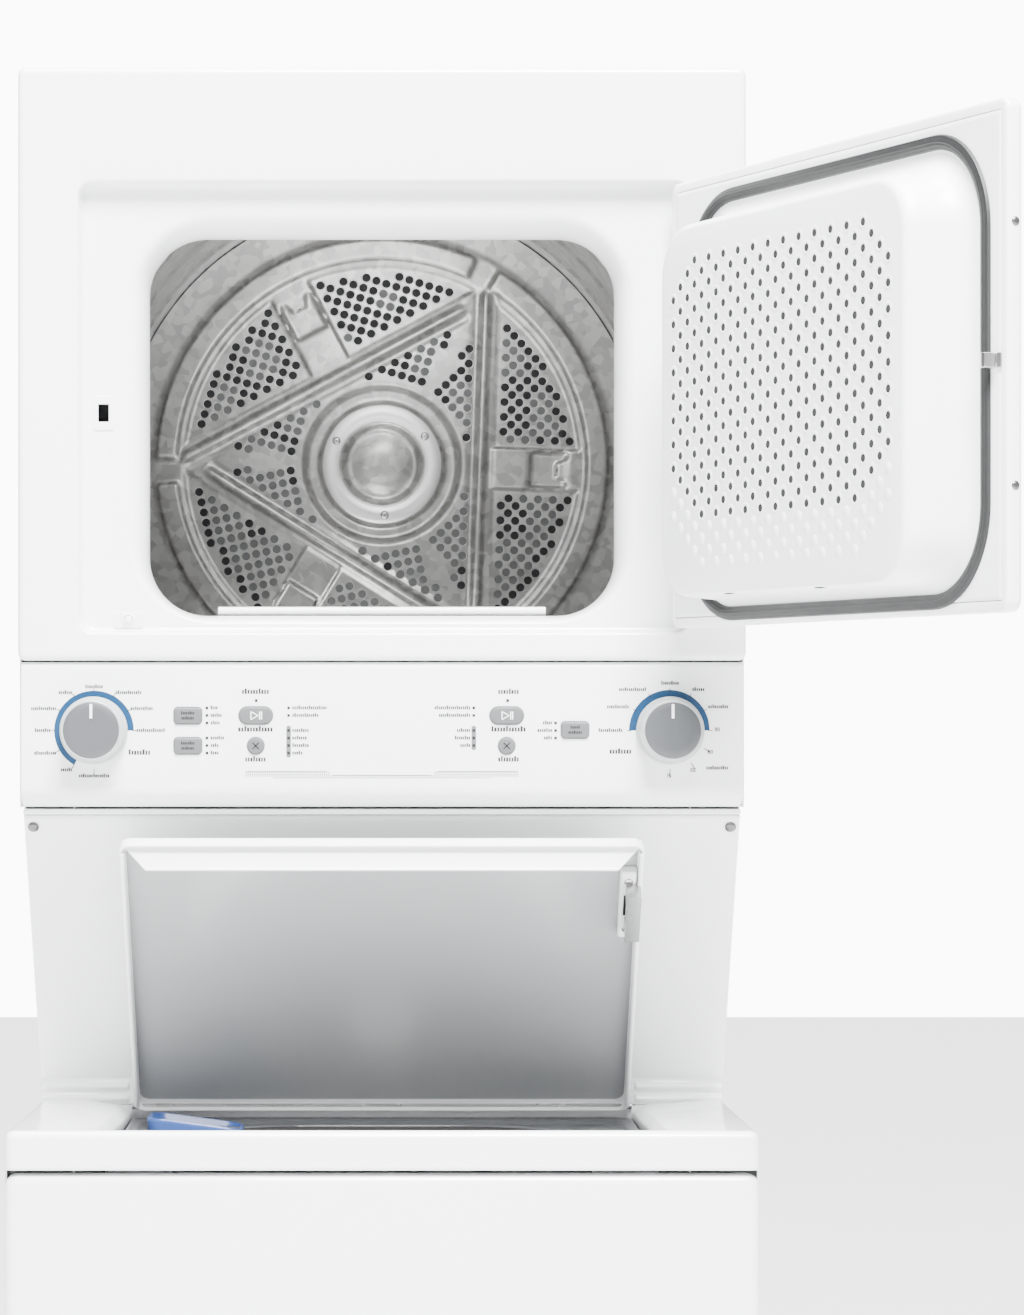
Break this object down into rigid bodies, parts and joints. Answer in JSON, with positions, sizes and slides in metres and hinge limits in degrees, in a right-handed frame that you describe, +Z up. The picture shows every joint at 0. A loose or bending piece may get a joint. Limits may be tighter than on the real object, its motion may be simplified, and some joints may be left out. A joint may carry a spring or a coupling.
{
  "type": "stacked laundry centre",
  "caption": "Stacked laundry centre: tumble dryer with a side-hinged door above a top-loading washer with a lifting lid and a dial console between them.",
  "frame": {"origin": "on the floor under the middle of the object's box, with the dryer door and the lid open", "axes": "+Z up, +Y from the front to the back, +X to the right as seen from the front"},
  "size_m": [0.8614, 1.1804, 1.924],
  "materials": {
    "white_enamel": "gloss",
    "white_plastic": "satin",
    "grey_plastic": "satin",
    "galvanised_steel": "spangled",
    "bright_steel": "bright",
    "black_rubber": "matte",
    "gasket_rubber": "matte",
    "blue_plastic": "satin",
    "circuit_board": "matte",
    "motor_paint": "satin"
  },
  "bodies": {
    "cabinet": {"washer_side_left": "white_enamel", "washer_side_right": "white_enamel", "washer_front_panel": "white_enamel", "washer_top": "white_enamel", "upper_side_left": "white_enamel", "upper_side_right": "white_enamel", "sloped_panel": "white_enamel", "dryer_top": "white_enamel", "dryer_front_panel": "white_enamel", "console_panel": "white_plastic", "door_latch": "white_plastic", "outer_tub": "white_plastic", "drain_pump": "white_plastic", "blower_housing": "white_plastic", "tub_cover": "grey_plastic", "washer_base": "galvanised_steel", "washer_rear_panel": "galvanised_steel", "upper_rear_panel": "galvanised_steel", "dryer_floor": "galvanised_steel", "dryer_bulkhead": "galvanised_steel", "exhaust_duct": "galvanised_steel", "heater_housing": "galvanised_steel", "lid_hinge_rod": "bright_steel", "leveling_foot_front_left": "black_rubber", "leveling_foot_front_right": "black_rubber", "leveling_foot_rear_left": "black_rubber", "leveling_foot_rear_right": "black_rubber", "washer_belt": "black_rubber", "drum_belt": "black_rubber", "bleach_dispenser": "blue_plastic", "control_board": "circuit_board", "gearcase": "motor_paint", "washer_motor": "motor_paint", "dryer_motor": "motor_paint"},
    "dryer_door": {"door_outer_panel": "white_enamel", "door_inner_panel": "white_plastic", "door_gasket": "gasket_rubber", "door_striker": "bright_steel"},
    "lid": {"washer_lid": "white_enamel", "lid_strike": "bright_steel"},
    "drum": {"drum_shell": "galvanised_steel", "drum_back": "galvanised_steel", "drum_shaft": "bright_steel"},
    "dryer_rotor": {"dryer_motor_pulley": "bright_steel", "blower_wheel": "white_plastic"},
    "basket": {"wash_basket": "bright_steel"},
    "agitator": {"agitator": "white_plastic"},
    "washer_pulley": {"washer_drive_pulley": "galvanised_steel"},
    "washer_rotor": {"washer_motor_pulley": "bright_steel"},
    "washer_knob": {"washer_cycle_knob": "grey_plastic"},
    "dryer_knob": {"dryer_cycle_knob": "grey_plastic"},
    "lint_filter": {"lint_filter": "white_plastic"},
    "door_switch": {"door_switch": "white_plastic"},
    "wash_temp_button": {"wash_temp_button": "grey_plastic"},
    "water_level_button": {"water_level_button": "grey_plastic"},
    "washer_start_button": {"washer_start_button": "grey_plastic"},
    "washer_cancel_button": {"washer_cancel_button": "grey_plastic"},
    "dryer_start_button": {"dryer_start_button": "grey_plastic"},
    "dryer_cancel_button": {"dryer_cancel_button": "grey_plastic"},
    "dry_temp_button": {"dry_temp_button": "grey_plastic"}
  },
  "joints": [
    {"name": "dryer_door_hinge", "type": "hinge", "parent": "cabinet", "child": "dryer_door", "pos_m": [0.19737, -0.07114, 1.60425], "axis": [0, 0, 1], "range_deg": [-114.3, 0]},
    {"name": "washer_lid_hinge", "type": "hinge", "parent": "cabinet", "child": "lid", "pos_m": [-0.08813, 0.17286, 0.922], "axis": [1, 0, 0], "range_deg": [0, 47]},
    {"name": "drum_spin", "type": "hinge", "parent": "cabinet", "child": "drum", "pos_m": [-0.08813, 0.01286, 1.584], "axis": [0, 1, 0], "continuous": true},
    {"name": "dryer_motor_spin", "type": "hinge", "parent": "cabinet", "child": "dryer_rotor", "pos_m": [0.17387, 0.32686, 1.312], "axis": [0, 1, 0], "continuous": true},
    {"name": "basket_spin", "type": "hinge", "parent": "cabinet", "child": "basket", "pos_m": [-0.08813, 0.08686, 0.324], "axis": [0, 0, 1], "continuous": true},
    {"name": "agitator_spin", "type": "hinge", "parent": "cabinet", "child": "agitator", "pos_m": [-0.08813, 0.08686, 0.33], "axis": [0, 0, 1], "continuous": true},
    {"name": "washer_pulley_spin", "type": "hinge", "parent": "cabinet", "child": "washer_pulley", "pos_m": [-0.08813, 0.08686, 0.1904], "axis": [0, 0, 1], "continuous": true},
    {"name": "washer_motor_spin", "type": "hinge", "parent": "cabinet", "child": "washer_rotor", "pos_m": [0.10187, 0.08686, 0.1904], "axis": [0, 0, 1], "continuous": true},
    {"name": "washer_knob_turn", "type": "hinge", "parent": "cabinet", "child": "washer_knob", "pos_m": [-0.35963, -0.06814, 1.2995], "axis": [0, 1, 0], "continuous": true},
    {"name": "dryer_knob_turn", "type": "hinge", "parent": "cabinet", "child": "dryer_knob", "pos_m": [0.18337, -0.06814, 1.2995], "axis": [0, 1, 0], "continuous": true},
    {"name": "lint_filter_lift", "type": "slide", "parent": "cabinet", "child": "lint_filter", "axis": [0, 0, 1], "range_m": [0, 0.05]},
    {"name": "door_switch_press", "type": "slide", "parent": "cabinet", "child": "door_switch", "axis": [0, 1, 0], "range_m": [0, 0.003], "stiffness_N_per_m": 300},
    {"name": "wash_temp_press", "type": "slide", "parent": "cabinet", "child": "wash_temp_button", "axis": [0, 1, 0], "range_m": [0, 0.0015], "stiffness_N_per_m": 600},
    {"name": "water_level_press", "type": "slide", "parent": "cabinet", "child": "water_level_button", "axis": [0, 1, 0], "range_m": [0, 0.0015], "stiffness_N_per_m": 600},
    {"name": "washer_start_press", "type": "slide", "parent": "cabinet", "child": "washer_start_button", "axis": [0, 1, 0], "range_m": [0, 0.0015], "stiffness_N_per_m": 600},
    {"name": "washer_cancel_press", "type": "slide", "parent": "cabinet", "child": "washer_cancel_button", "axis": [0, 1, 0], "range_m": [0, 0.0015], "stiffness_N_per_m": 600},
    {"name": "dryer_start_press", "type": "slide", "parent": "cabinet", "child": "dryer_start_button", "axis": [0, 1, 0], "range_m": [0, 0.0015], "stiffness_N_per_m": 600},
    {"name": "dryer_cancel_press", "type": "slide", "parent": "cabinet", "child": "dryer_cancel_button", "axis": [0, 1, 0], "range_m": [0, 0.0015], "stiffness_N_per_m": 600},
    {"name": "dry_temp_press", "type": "slide", "parent": "cabinet", "child": "dry_temp_button", "axis": [0, 1, 0], "range_m": [0, 0.0015], "stiffness_N_per_m": 600}
  ],
  "couplings": [
    {"joint": "dryer_motor_spin", "follows": "drum_spin", "ratio": 20.143},
    {"joint": "washer_motor_spin", "follows": "washer_pulley_spin", "ratio": 3.8889}
  ]
}
